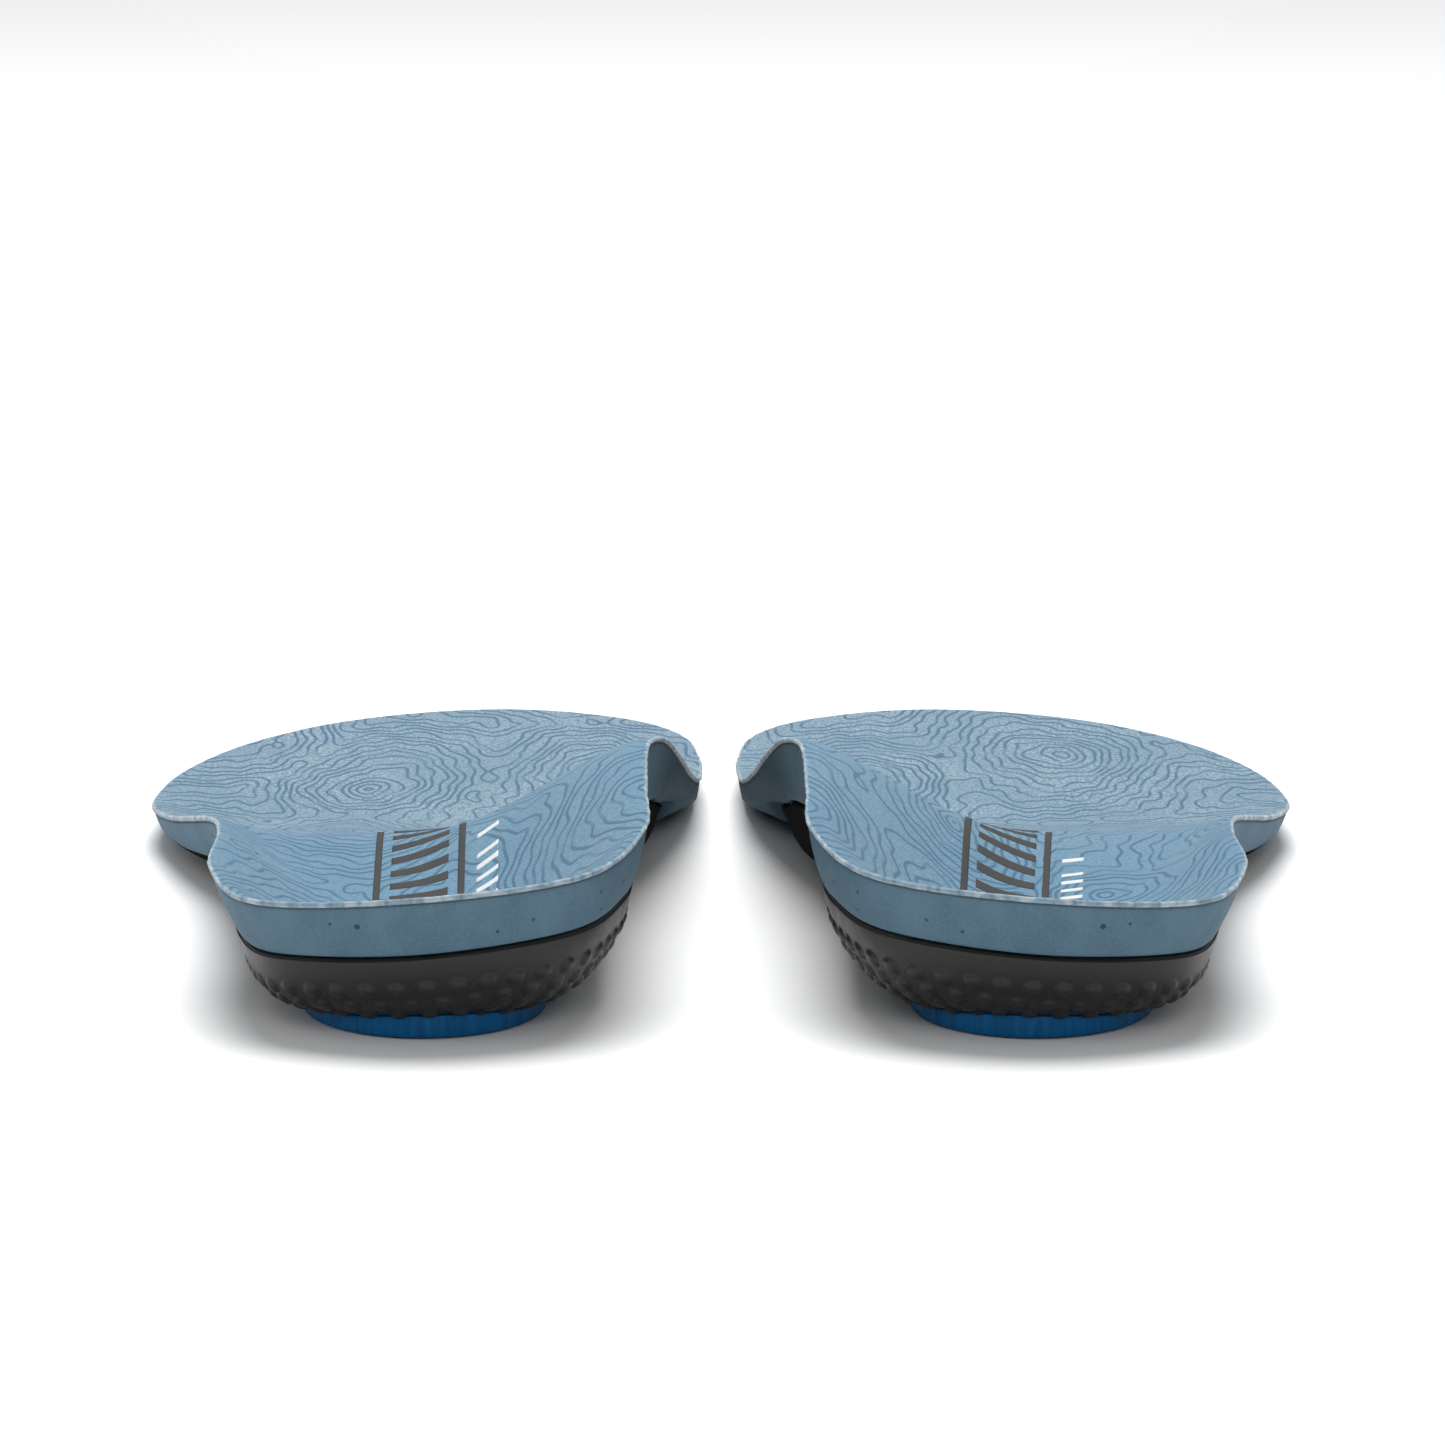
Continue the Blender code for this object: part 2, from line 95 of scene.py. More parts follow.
# The rim, anticlockwise from the back of the heel. Each station gives the rim's place and its top
# edge's height; the height and inset of the parting line on the side below it, where foam meets
# shell; the shares of the half-width over which the top slopes down to the floor and the underside
# curves in to the base; and how full that curve is, from a parabola (0) to an ellipse (1).
Rim = namedtuple("Rim", "x y top side flare run bowl fullness")
STATIONS = (
    Rim(-0.0010, 0.0000, 0.0264, 0.0159, 0.0035, 0.60, 0.40, 0.98),
    Rim(0.0270, 0.0105, 0.0282, 0.0180, 0.0032, 0.64, 0.44, 0.98),
    Rim(0.0374, 0.0360, 0.0308, 0.0193, 0.0032, 0.72, 0.47, 0.98),
    Rim(0.0382, 0.0650, 0.0322, 0.0205, 0.0022, 0.90, 0.54, 0.97),
    Rim(0.0391, 0.1000, 0.0328, 0.0205, 0.0020, 1.00, 0.46, 0.97),
    Rim(0.0426, 0.1280, 0.0284, 0.0172, 0.0024, 1.00, 0.37, 0.97),
    Rim(0.0458, 0.1500, 0.0207, 0.0122, 0.0043, 0.85, 0.28, 0.98),
    Rim(0.0474, 0.1640, 0.0156, 0.0096, 0.0042, 0.70, 0.50, 0.88),
    Rim(0.0494, 0.1840, 0.0101, 0.0056, 0.0015, 0.45, 0.48, 0.86),
    Rim(0.0502, 0.2030, 0.0077, 0.0022, 0.0010, 0.35, 0.18, 0.75),
    Rim(0.0502, 0.2220, 0.0063, 0.0018, 0.0010, 0.30, 0.28, 0.60),
    Rim(0.0474, 0.2450, 0.0060, 0.0015, 0.0008, 0.30, 0.28, 0.60),
    Rim(0.0362, 0.2620, 0.0060, 0.0015, 0.0008, 0.30, 0.28, 0.60),
    Rim(0.0140, 0.2712, 0.0060, 0.0015, 0.0008, 0.30, 0.28, 0.60),
    Rim(-0.0120, 0.2624, 0.0060, 0.0015, 0.0008, 0.30, 0.28, 0.60),
    Rim(-0.0318, 0.2411, 0.0060, 0.0015, 0.0008, 0.30, 0.28, 0.60),
    Rim(-0.0446, 0.2112, 0.0063, 0.0018, 0.0010, 0.30, 0.28, 0.60),
    Rim(-0.0496, 0.1790, 0.0070, 0.0025, 0.0018, 0.30, 0.28, 0.70),
    Rim(-0.0460, 0.1520, 0.0099, 0.0040, 0.0025, 0.40, 0.32, 0.80),
    Rim(-0.0380, 0.1180, 0.0165, 0.0078, 0.0032, 0.50, 0.42, 0.92),
    Rim(-0.0358, 0.0800, 0.0215, 0.0110, 0.0044, 0.58, 0.41, 0.97),
    Rim(-0.0364, 0.0420, 0.0234, 0.0126, 0.0046, 0.62, 0.38, 0.98),
    Rim(-0.0283, 0.0120, 0.0238, 0.0140, 0.0043, 0.60, 0.37, 0.98),
)
CURVE_STEPS = 48


# --- Shape functions, as in the CAD ---


def smoothstep(low, high, value):
    t = np.clip((value - low) / (high - low), 0.0, 1.0)
    return t * t * (3.0 - 2.0 * t)


def rim_curve():
    """A closed Catmull-Rom curve through the stations, in all their fields at once."""
    b = np.array(STATIONS)
    a, c, d = np.roll(b, 1, 0), np.roll(b, -1, 0), np.roll(b, -2, 0)
    steps = np.arange(CURVE_STEPS) / CURVE_STEPS
    rows = [
        b + 0.5 * t * (c - a + t * (2 * a - 5 * b + 4 * c - d + t * (3 * b - a - 3 * c + d)))
        for t in steps
    ]
    return np.stack(rows, 1).reshape(-1, b.shape[1])


def spine_x(y):
    along = (y - HEEL_HUB[1]) / (TOE_HUB[1] - HEEL_HUB[1])
    start, peak, end = BOW_RANGE
    bow = smoothstep(start, peak, y) * (1.0 - smoothstep(peak, end, y))
    return HEEL_HUB[0] + (TOE_HUB[0] - HEEL_HUB[0]) * along - SPINE_BOW * bow


def reader(keys, rows):
    order = np.argsort(keys)
    return lambda key: np.stack(
        [np.interp(key, keys[order], field) for field in rows[order].T], -1
    )


def fan_angle(x, y, hub, forward):
    return np.arctan2(x - hub[0], forward * (y - hub[1]))


CURVE = rim_curve()
ON_INNER = CURVE[:, 0] > spine_x(CURVE[:, 1])
rim_round_heel = reader(fan_angle(CURVE[:, 0], CURVE[:, 1], HEEL_HUB, -1), CURVE)
rim_round_toe = reader(fan_angle(CURVE[:, 0], CURVE[:, 1], TOE_HUB, 1), CURVE)
rim_on_inner = reader(CURVE[ON_INNER, 1], CURVE[ON_INNER])
rim_on_outer = reader(CURVE[~ON_INNER, 1], CURVE[~ON_INNER])


def locate(x, y):
    """The rim, length and inward distance of the spoke that runs through each point."""
    hub_y = np.clip(y, HEEL_HUB[1], TOE_HUB[1])
    hub_x = spine_x(hub_y)
    fields = np.where((x > hub_x)[..., None], rim_on_inner(y), rim_on_outer(y))
    in_heel, in_toe = (y < HEEL_HUB[1])[..., None], (y > TOE_HUB[1])[..., None]
    fields = np.where(in_heel, rim_round_heel(fan_angle(x, y, HEEL_HUB, -1)), fields)
    fields = np.where(in_toe, rim_round_toe(fan_angle(x, y, TOE_HUB, 1)), fields)
    rim = Rim(*np.moveaxis(fields, -1, 0))
    span = np.hypot(rim.x - hub_x, rim.y - hub_y)
    return rim, span, span - np.hypot(x - hub_x, y - hub_y)


def floor_height(y):
    return HEEL_FLOOR + (TOE_FLOOR - HEEL_FLOOR) * smoothstep(*FLOOR_FALL, y)


def base_height(y):
    return HEEL_BASE * (1.0 - smoothstep(*BASE_FALL, y))


def raw_top(x, y):
    rim, span, inward = locate(x, y)
    s = np.clip(inward / (rim.run * span), 0.0, 1.0)
    rise = (1.0 + np.cos(np.pi * s**CUP_ROUNDNESS)) / 2.0
    return floor_height(y) + (rim.top - floor_height(rim.y)) * rise


def raw_under(x, y):
    rim, span, inward = locate(x, y)
    out = 1.0 - np.minimum((inward - rim.flare) / (rim.bowl * span - rim.flare), 1.0)
    dip = np.sqrt(np.maximum(1.0 - rim.fullness * out**2, 0.0))
    rise = (1.0 - dip) / (1.0 - np.sqrt(1.0 - rim.fullness))
    return base_height(y) + (rim.side - base_height(rim.y)) * rise


def softened(height, edge_of, widest):
    """The height averaged over a small disc that shrinks to nothing at the edge, which takes the
    creases out where spokes of different kinds meet."""

    def smooth(x, y):
        rim, _, inward = locate(x, y)
        radius = np.clip((inward - edge_of(rim)) * 0.4, 0.0, widest)
        total = height(x, y)
        for k in range(8):
            a = k * math.pi / 4
            total = total + height(x + radius * math.cos(a), y + radius * math.sin(a))
        return total / 9.0

    return smooth


top_height = softened(raw_top, lambda rim: 0.0, 4.0 * MM)
under_height = softened(raw_under, lambda rim: rim.flare, 3.0 * MM)


def upward_normals(height, x, y):
    step = 0.0002
    slope_x = (height(x + step, y) - height(x - step, y)) / (2 * step)
    slope_y = (height(x, y + step) - height(x, y - step)) / (2 * step)
    normal = np.stack([-slope_x, -slope_y, np.ones_like(x)], -1)
    return normal / np.linalg.norm(normal, axis=-1, keepdims=True)


def top_points(plan, depth):
    x, y = plan.T
    normal = upward_normals(top_height, x, y)
    return np.column_stack([x, y, top_height(x, y) - depth / normal[:, 2]])


def under_points(plan, depth):
    x, y = plan.T
    surface = np.column_stack([x, y, under_height(x, y)])
    return surface + upward_normals(under_height, x, y) * np.reshape(depth, (-1, 1))


def shell_reach(x):
    hub_x = spine_x(SHELL_FRONT)
    inner, outer = (Rim(*side(SHELL_FRONT)) for side in (rim_on_inner, rim_on_outer))
    return np.where(x > hub_x, inner.x - inner.flare - hub_x, hub_x - outer.x - outer.flare)


def shell_front_share(x, y):
    ahead = np.maximum(y - SHELL_FRONT, 0.0) / SHELL_REACH
    aside = (x - spine_x(SHELL_FRONT)) / shell_reach(x)
    return np.where(ahead > 0.0, np.hypot(aside, ahead), 0.0)


def shell_thickness(x, y):
    rim, span, inward = locate(x, y)
    share = (inward - rim.flare) / (span - rim.flare)
    middle = SHELL_FLOOR + (SHELL_TIP - SHELL_FLOOR) * smoothstep(*FLOOR_FALL, y)
    thick = SHELL_EDGE + (middle - SHELL_EDGE) * smoothstep(0.0, 0.35, share)
    ahead = (y - SHELL_FRONT) / SHELL_REACH
    thinning = smoothstep(0.7, 1.0, shell_front_share(x, y)) * smoothstep(0.0, 0.4, ahead)
    return thick + (SHELL_TIP - thick) * thinning


def covered(x, y):
    return 1.0 - smoothstep(*COVER_FADE, shell_front_share(x, y))


# --- Spokes and lofts ---

Spokes = namedtuple("Spokes", "hub_of hubs rim start span")


def spokes_between(fans, stations, front_rim):
    heel = rim_round_heel(np.linspace(-np.pi / 2, np.pi / 2, fans[0]))
    front = front_rim(np.linspace(np.pi / 2, -np.pi / 2, fans[1]))
    between = stations[1:-1]
    rim = np.concatenate([heel, rim_on_inner(between), front, rim_on_outer(between[::-1])])
    last = len(stations) - 1
    sides = list(range(1, last))
    hub_of = np.array([0] * fans[0] + sides + [last] * fans[1] + sides[::-1])
    hubs = np.column_stack([spine_x(stations), stations])
    span = np.linalg.norm(hubs[hub_of] - rim[:, :2], axis=1)
    return Spokes(hub_of, hubs, rim[:, :2], rim[:, 4], span)


def whole_spokes(side_stations, fans):
    return spokes_between(fans, np.linspace(HEEL_HUB[1], TOE_HUB[1], side_stations), rim_round_toe)


def shell_spokes(side_stations, fans):
    def half_ellipse(angles):
        aside, ahead = np.sin(angles), np.cos(angles)
        rows = np.zeros((len(angles), len(Rim._fields)))
        rows[:, 0] = spine_x(SHELL_FRONT) + aside * shell_reach(spine_x(SHELL_FRONT) + aside * MM)
        rows[:, 1] = SHELL_FRONT + SHELL_REACH * ahead
        return rows

    return spokes_between(fans, np.linspace(HEEL_HUB[1], SHELL_FRONT, side_stations), half_ellipse)


def at_inward(spokes, inward):
    reach = spokes.hubs[spokes.hub_of] - spokes.rim
    return spokes.rim + reach * np.reshape(np.asarray(inward) / spokes.span, (-1, 1))


def beyond(spokes, inset, share):
    """Plan points a share of the way from a ring at the inset to the hubs."""
    return at_inward(spokes, inset + (spokes.span - inset) * share)


def at_share(spokes, share):
    start = at_inward(spokes, spokes.start)
    return start + (spokes.hubs[spokes.hub_of] - start) * np.reshape(share, (-1, 1))


def loft(rings, hub_of, first, last):
    """Vertices and faces of a closed skin over rings of points, from the hub points of its first
    ring, on top, outwards and under to those of its last."""
    count = len(hub_of)
    verts = np.concatenate([*rings, first, last])
    faces = []
    first_hubs = len(rings) * count
    end, last_hubs = (len(rings) - 1) * count, first_hubs + len(first)
    for i in range(count):
        j = (i + 1) % count
        for ring in range(len(rings) - 1):
            k = ring * count
            faces.append((k + i, k + count + i, k + count + j, k + j))
        faces.append((i, j, first_hubs + hub_of[j], first_hubs + hub_of[i]))
        faces.append((end + j, end + i, last_hubs + hub_of[i], last_hubs + hub_of[j]))
    return verts, [tuple(dict.fromkeys(face)) for face in faces]


# --- Pieces in the left foot's frame ---


def wobble(points, size, seed):
    """Smooth noise from -1 to 1 at each point, with features of the given size."""
    return np.array([noise.noise(Vector(p) / size + Vector((seed, 0, 0))) for p in points])


# How far in from the rim the fabric's top and back give way to its cut edge
TOP_START, BACK_START = 1.6 * MM, 1.2 * MM
# The cut edge's section: distance in from the rim and depth below the top face, in millimetres
EDGE_FACE = (
    (1.60, 0.0), (1.10, 0.0), (0.75, 0.0), (0.48, 0.03), (0.25, 0.10), (0.09, 0.24), (0.0, 0.45),
    (0.02, 0.68), (0.12, 0.86), (0.30, 0.97), (0.60, 1.0), (1.20, 1.0),
)  # fmt: skip


def fabric_shape():
    """The fabric's top, its soft cut edge, uneven as cut knit is, and its back."""
    spokes = whole_spokes(241, (145, 145))
    top = [beyond(spokes, TOP_START, u**1.3) for u in np.linspace(0.97, 0.03, 30)]
    rings = [top_points(plan, 0.0) for plan in top]
    rim3 = np.column_stack([spokes.rim, np.zeros(len(spokes.rim))])
    lumps = 0.13 * MM * wobble(rim3, 2.6 * MM, 3) + 0.10 * MM * wobble(rim3, 1.1 * MM, 8)
    lift = 0.10 * MM * wobble(rim3, 3.1 * MM, 15)
    for inward, depth in EDGE_FACE:
        weight = max(0.0, 1.0 - inward / 1.1)
        ring = top_points(at_inward(spokes, inward * MM - lumps * weight), depth * MM)
        ring[:, 2] += lift * weight
        rings.append(ring)
    back = [beyond(spokes, BACK_START, u**1.3) for u in np.linspace(0.08, 0.95, 12)]
    rings += [top_points(plan, FABRIC) for plan in back]
    hubs = spokes.hubs
    return loft(rings, spokes.hub_of, top_points(hubs, 0.0), top_points(hubs, FABRIC))


# Where the rings across the film and the foam lie, as shares of the way from their edge to the hubs
INNER_SHARES = (0.9, 0.6, 0.35, 0.18, 0.07)


def film_shape():
    """The bond film fills the space between fabric and foam, a little inside their edges."""
    spokes = whole_spokes(121, (73, 73))
    upper, lower = FABRIC + 0.02 * MM, FOAM_DEPTH + 0.04 * MM
    inner = [beyond(spokes, FILM_INSET, share) for share in INNER_SHARES]
    rings = [top_points(plan, upper) for plan in inner]
    for inset, share in ((0.55, 0.0), (0.50, 0.2), (0.47, 0.5), (0.50, 0.8), (0.55, 1.0)):
        rings.append(top_points(at_inward(spokes, inset * MM), upper + (lower - upper) * share))
    rings += [top_points(plan, lower) for plan in inner[::-1]]
    hubs = spokes.hubs
    return loft(rings, spokes.hub_of, top_points(hubs, upper), top_points(hubs, lower))


# The foam's side, from its top edge down: where its rings lie, how far its corners are rounded off
# and over what share of its height, and how far it bulges as a share of that height
FOAM_SIDE = (0.0, 0.025, 0.07, 0.14, 0.25, 0.38, 0.5, 0.62, 0.75, 0.86, 0.93, 0.975, 1.0)
FOAM_CORNER, CORNER_SHARE = 0.25 * MM, 0.07
FOAM_BULGE = 0.035


def foam_underside(plan):
    x, y = plan.T
    clearance = SHELL_GAP + FRONT_CLEARANCE * smoothstep(-1.2, 0.0, (y - SHELL_FRONT) / SHELL_REACH)
    return under_points(plan, (shell_thickness(x, y) + clearance) * covered(x, y))


def foam_shape():
    """The foam bed: its rounded upper edge, its faintly bulging side, the lip over the shell, and
    its underside."""
    spokes = whole_spokes(193, (121, 121))
    inner = [beyond(spokes, FOAM_INSET, share) for share in INNER_SHARES]
    rings = [top_points(plan, FOAM_DEPTH) for plan in inner]
    upper = top_points(at_inward(spokes, FOAM_INSET), FOAM_DEPTH)
    parting = at_share(spokes, 0.0)
    lower = under_points(parting, 0.0)
    outward = spokes.rim - spokes.hubs[spokes.hub_of]
    outward /= np.linalg.norm(outward, axis=1, keepdims=True)
    height = upper[:, 2] - lower[:, 2]
    for t in FOAM_SIDE:
        ring = upper + (lower - upper) * t
        corner = FOAM_CORNER * (1.0 - min(t / CORNER_SHARE, (1.0 - t) / CORNER_SHARE, 1.0)) ** 2
        bulge = FOAM_BULGE * height * math.sin(math.pi * t) - corner
        ring[:, :2] += outward * np.reshape(bulge, (-1, 1))
        rings.append(ring)
    cover = covered(*parting.T)
    ledge = at_inward(spokes, spokes.start + 0.0005 * (1.0 - cover))
    rings.append(under_points(ledge, (SHELL_EDGE + SHELL_GAP) * cover))
    shares = (0.02, 0.04, 0.065, 0.09, 0.12, 0.15, 0.19, 0.24, 0.3, 0.37, 0.45, 0.55, 0.67, 0.82)
    rings += [foam_underside(at_share(spokes, share)) for share in shares]
    hubs = spokes.hubs
    return loft(rings, spokes.hub_of, top_points(hubs, FOAM_DEPTH), foam_underside(hubs))


def shell_shape():
    """The shell with its studs: rows of low domes that follow its edge, each in a faint ring."""
    spokes = shell_spokes(331, (171, 121))
    count = len(spokes.hub_of)
    shares = np.linspace(0.0, 1.0, 161) ** 1.6
    profile = np.stack([under_points(at_share(spokes, share), 0.0) for share in shares])
    steps = np.linalg.norm(np.diff(profile, axis=0), axis=2)
    arc = np.concatenate([np.zeros((1, count)), np.cumsum(steps, 0)])
    reach = np.minimum(1.0, 0.85 * arc[-1] / FIELD_END)

    def at_arc(distance):
        return np.array([np.interp(d, arc[:, i], shares) for i, d in enumerate(distance)])

    lean = upward_normals(under_height, *at_share(spokes, 0.0).T)[:, 2]
    edge = at_inward(spokes, spokes.start + SHELL_GAP * lean)
    arcs = np.arange(FIELD_START, FIELD_END, FIELD_STEP)
    ring_shares = [at_arc(np.maximum(a * reach, 0.3 * MM)) for a in arcs]
    final = ring_shares[-1]
    ring_shares += [final + (1.0 - final) * u for u in (0.08, 0.2, 0.36, 0.55, 0.76, 0.92)]
    plans = [at_share(spokes, share) for share in ring_shares]
    outer = studded(plans, stud_centres(spokes, arc, shares))

    thickness = shell_thickness(*edge.T)
    inner_shares = (0.92, 0.7, 0.5, 0.34, 0.22, 0.13, 0.07, 0.03)
    upper = [at_share(spokes, share) for share in inner_shares]
    rings = [under_points(plan, shell_thickness(*plan.T)) for plan in upper]
    lip = ((1.0, 0.12), (0.93, 0.03), (0.75, 0.0), (0.4, 0.0), (0.14, 0.03), (0.03, 0.12))
    for share, inset in lip:
        plan = at_inward(spokes, spokes.start + SHELL_GAP * lean + inset * MM)
        rings.append(under_points(plan, thickness * share))
    rings.append(under_points(at_inward(spokes, spokes.start + SHELL_GAP * lean + 0.25 * MM), 0.0))
    rings += outer
    hubs = spokes.hubs
    hub_top = under_points(hubs, shell_thickness(*hubs.T))
    return loft(rings, spokes.hub_of, hub_top, under_points(hubs, 0.0))


def studded(plans, centres):
    """Rings of the shell's outer face, pushed out into a dome and in round it at each centre."""
    tree = kdtree.KDTree(len(centres))
    for i, centre in enumerate(centres):
        tree.insert(centre, i)
    tree.balance()
    rings = []
    for plan in plans:
        ring = under_points(plan, 0.0)
        far = np.array([tree.find(p)[2] for p in ring]) / STUD_RADIUS
        dome = np.maximum(1.0 - far**2, 0.0) ** STUD_ROUNDNESS
        moat = np.exp(-(((far - MOAT_CENTRE) / MOAT_WIDTH) ** 2))
        present = 1.0 - smoothstep(*STUD_FADE, ring[:, 1])
        push = present * (STUD_HEIGHT * dome - MOAT_DEPTH * moat)
        ring -= upward_normals(under_height, *plan.T) * np.reshape(push, (-1, 1))
        ring[:, 2] = np.maximum(ring[:, 2], 0.0)
        rings.append(ring)
    return rings


def stud_centres(spokes, arc, shares):
    """Stud centres a pitch apart along each row, staggered about the back of the heel."""
    centres = []
    for row, distance in enumerate(STUD_ROWS):
        share = np.array([np.interp(distance, arc[:, i], shares) for i in range(arc.shape[1])])
        ring = under_points(at_share(spokes, share), 0.0)
        fits = distance < 0.62 * arc[-1]
        back = int(np.argmin(np.where(fits, ring[:, 1], np.inf)))
        order = np.roll(np.arange(len(ring)), -back)
        loop, fits = ring[np.append(order, order[0])], fits[np.append(order, order[0])]
        along = np.append(0.0, np.cumsum(np.linalg.norm(np.diff(loop, axis=0), axis=1)))
        studs = max(1, round(along[-1] / STUD_PITCH))
        for k in range(studs):
            at = (k + 0.5 * (row % 2)) * along[-1] / studs
            if fits[min(np.searchsorted(along, at), len(fits) - 1)]:
                centres.append([np.interp(at, along, loop[:, axis]) for axis in range(3)])
    return centres


PAD_RIBS, PAD_RIB_HEIGHT = 108, 0.03 * MM
# The gap that keeps the pad's top clear of the shell, and where its upright side starts
PAD_CLEARANCE, PAD_SIDE_TOP = 0.05 * MM, 1.1 * MM
# The pad's lower edge: its inset and height in millimetres, and how much of the ribs is left there
PAD_LOWER_EDGE = (
    (0.02, 0.75, 1.0),
    (0.12, 0.42, 0.8),
    (0.34, 0.17, 0.4),
    (0.70, 0.04, 0.0),
    (1.30, 0.00, 0.0),
)


def pad_shape():
    """The heel pad: an oval with fine upright ribs round its side and a rounded lower edge."""
    spokes = 4 * PAD_RIBS
    angles = np.arange(spokes) * 2 * np.pi / spokes
    circle = np.column_stack([np.cos(angles), np.sin(angles)])
    ribs = PAD_RIB_HEIGHT * np.cos(angles * PAD_RIBS)

    def oval(inset):
        return PAD_CENTRE + circle * (np.array(PAD_HALF_SIZE) - np.reshape(inset, (-1, 1)))

    rings = [
        under_points(oval(inset * MM), 0.0) - (0, 0, PAD_CLEARANCE)
        for inset in (16, 12, 8, 4, 1.5, 0.3)
    ]
    rim = under_points(oval(0.12 * MM), 0.0)[:, 2] - 0.1 * MM
    for share in (1.0, 0.93, 0.6, 0.2):
        heights = PAD_SIDE_TOP + (rim - PAD_SIDE_TOP) * share
        rings.append(np.column_stack([oval(0.10 * MM * (share == 1.0) - ribs), heights]))
    for inset, height, rib in PAD_LOWER_EDGE:
        plan = oval(inset * MM - ribs * rib)
        rings.append(np.column_stack([plan, np.full(len(plan), height * MM)]))
    for inset in (5, 10, 16):
        plan = oval(inset * MM)
        rings.append(np.column_stack([plan, np.zeros(len(plan))]))
    centre = np.array([PAD_CENTRE])
    return loft(rings, [0] * spokes, under_points(centre, 0.0), np.array([[*PAD_CENTRE, 0.0]]))


# --- Placing ---


def to_row(side, points):
    """Points of the left foot's frame, mirrored for a right foot, in the row frame."""
    mirror = 1 if side == "left" else -1
    turn = Matrix.Rotation(mirror * TOE_OUT[side], 3, "Z")
    placed = (np.asarray(points) * (mirror, 1, 1)) @ np.array(turn).T
    return placed + (HEEL_X[side], HEEL_BACK_Y, 0.0)


def make_piece(name, side, shape, material):
    """A mesh piece with its plan position and its distance from the rim kept as attributes."""
    verts, faces = shape
    if side == "right":
        faces = [face[::-1] for face in faces]
    mesh = bpy.data.meshes.new(name)
    mesh.from_pydata(to_row(side, verts).tolist(), [], faces)
    mesh.shade_smooth()
    plan = mesh.attributes.new("plan", "FLOAT_VECTOR", "POINT")
    plan.data.foreach_set("vector", verts.astype(np.float32).ravel())
    inward = locate(verts[:, 0], verts[:, 1])[2]
    rim = mesh.attributes.new("inward", "FLOAT", "POINT")
    rim.data.foreach_set("value", (inward / MM).astype(np.float32))
    mesh.materials.append(material)
    piece = bpy.data.objects.new(name, mesh)
    bpy.context.scene.collection.objects.link(piece)
    return piece


def bend_at_ball(piece):
    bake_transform(piece)


# --- Prints on the fabric ---

# How far the prints stand out of the fabric and reach into it, and how fine their meshes are
PRINT_LIFT, PRINT_SINK = 0.06 * MM, 0.20 * MM
PRINT_STEP, LONG_BAR_STEP, TICK_STEP = 0.6 * MM, 0.3 * MM, 0.4 * MM
# In millimetres: each print's axis, as two points across and along the foot, where its two long
# bars end and how far they are from the axis
PRINTS = {
    "left": {"axis": ((-1.1, 70.0), (-0.6, 140.0)), "ends": (131.5, 140.0), "spread": 7.3},
    "right": {"axis": ((-4.0, 70.0), (-1.6, 140.0)), "ends": (141.0, 130.5), "spread": 7.0},
}
BACK_OF_PRINT = 52.0
LONG_BAR_HALF_WIDTH = 0.60
SHORT_BARS, FIRST_SHORT_BAR, SHORT_BAR_PITCH = 8, 57.0, 10.6
SHORT_BAR_LENGTH, SHORT_BAR_HALF_WIDTH, SHORT_BAR_SLANT = 5.0, 5.0, 0.55
# Each pale tick's start along the foot and its length
TICKS = ((60.0, 2.2), (66.5, 2.6), (73.0, 2.2), (79.5, 2.6), (86.0, 2.2), (98.0, 2.8))
TICK_OFFSET, TICK_WIDTH, TICK_SLANT = 2.6, 3.8, 0.6


def print_patch(tree, side, bar, step=PRINT_STEP):
    """A thin solid laid on the fabric: u runs across the foot from the print's axis and v along it
    from the heel, in millimetres. The bar starts at v = start + slope * u."""
    u_range, start, slope, length = bar
    (x0, v0), (x1, v1) = PRINTS[side]["axis"]
    us = np.linspace(*u_range, max(3, round((u_range[1] - u_range[0]) * MM / step) + 1))
    rows = max(2, round(length * MM / PRINT_STEP))
    sign = 1 if side == "left" else -1
    grid = []
    for u in us:
        for k in range(rows + 1):
            v = start + slope * u + length * k / rows
            across = x0 + (x1 - x0) * (v - v0) / (v1 - v0)
            grid.append((sign * (across + u) * MM, v * MM))
    hits = [tree.ray_cast(Vector((x, y, 0.1)), Vector((0, 0, -1))) for x, y in grid]
    top = [np.array(hit[0] + hit[1] * PRINT_LIFT) for hit in hits]
    sunk = [np.array(hit[0] - hit[1] * PRINT_SINK) for hit in hits]
    n, m, faces = len(us), rows + 1, []
    size = n * m
    for i in range(n - 1):
        for k in range(rows):
            a, b = i * m + k, (i + 1) * m + k
            faces.append((a, b, b + 1, a + 1))
            faces.append((size + a, size + a + 1, size + b + 1, size + b))
    border = [i * m for i in range(n)] + [(n - 1) * m + k for k in range(1, m)]
    border += [i * m + rows for i in range(n - 2, -1, -1)] + list(range(rows - 1, 0, -1))
    for a, b in zip(border, border[1:] + border[:1]):
        faces.append((a, size + a, size + b, b))
    if side == "right":
        faces = [face[::-1] for face in faces]
    return np.array(top + sunk), faces


def joined(shapes):
    verts, faces, offset = [], [], 0
    for points, polygons in shapes:
        verts.append(points)
        faces += [tuple(offset + i for i in face) for face in polygons]
        offset += len(points)
    return np.concatenate(verts), faces


